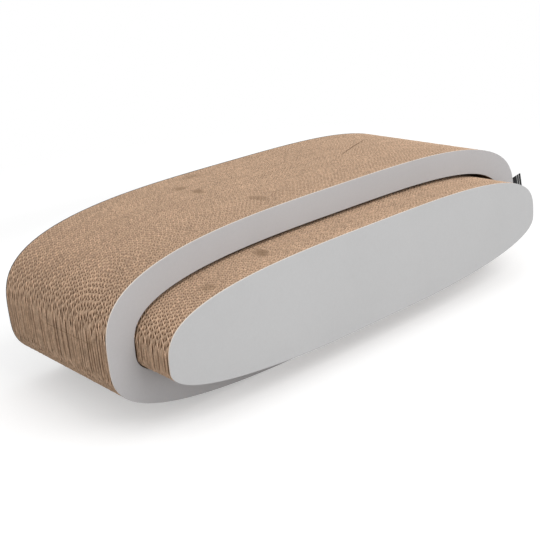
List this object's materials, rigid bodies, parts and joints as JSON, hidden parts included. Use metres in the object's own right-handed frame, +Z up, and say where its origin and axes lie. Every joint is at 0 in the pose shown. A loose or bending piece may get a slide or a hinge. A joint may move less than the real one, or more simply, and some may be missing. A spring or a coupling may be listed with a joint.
{
  "type": "cardboard cat scratcher",
  "caption": "Long oval cardboard cat scratcher: a ring of corrugated sheets between pale covers, with a matching oval core that slides out of its tunnel.",
  "frame": {"origin": "middle of the ring's flat foot, on the floor", "axes": "+X along the long oval towards the end with the labels, +Y from the front covers to the back, +Z up"},
  "size_m": [0.7223, 0.2772, 0.195],
  "materials": {
    "corrugated_board": "raw kraft, cut edges with open flutes",
    "cover_board": "matt pale grey paper face",
    "label_ribbon": "black woven ribbon, plain"
  },
  "bodies": {
    "ring": {"ring_front_cover": "cover_board", "ring_board_01": "corrugated_board", "ring_board_02": "corrugated_board", "ring_board_03": "corrugated_board", "ring_board_04": "corrugated_board", "ring_board_05": "corrugated_board", "ring_board_06": "corrugated_board", "ring_board_07": "corrugated_board", "ring_board_08": "corrugated_board", "ring_board_09": "corrugated_board", "ring_board_10": "corrugated_board", "ring_board_11": "corrugated_board", "ring_board_12": "corrugated_board", "ring_board_13": "corrugated_board", "ring_board_14": "corrugated_board", "ring_board_15": "corrugated_board", "ring_board_16": "corrugated_board", "ring_board_17": "corrugated_board", "ring_board_18": "corrugated_board", "ring_board_19": "corrugated_board", "ring_board_20": "corrugated_board", "ring_board_21": "corrugated_board", "ring_back_cover": "cover_board", "ring_label": "label_ribbon"},
    "core": {"core_front_cover": "cover_board", "core_board_01": "corrugated_board", "core_board_02": "corrugated_board", "core_board_03": "corrugated_board", "core_board_04": "corrugated_board", "core_board_05": "corrugated_board", "core_board_06": "corrugated_board", "core_board_07": "corrugated_board", "core_board_08": "corrugated_board", "core_board_09": "corrugated_board", "core_board_10": "corrugated_board", "core_board_11": "corrugated_board", "core_board_12": "corrugated_board", "core_board_13": "corrugated_board", "core_board_14": "corrugated_board", "core_board_15": "corrugated_board", "core_board_16": "corrugated_board", "core_board_17": "corrugated_board", "core_board_18": "corrugated_board", "core_board_19": "corrugated_board", "core_board_20": "corrugated_board", "core_board_21": "corrugated_board", "core_back_cover": "cover_board", "core_label": "label_ribbon"}
  },
  "joints": [
    {"name": "core_slide", "type": "slide", "parent": "ring", "child": "core", "axis": [0, -1, 0], "range_m": [-0.058, 0.18]}
  ]
}
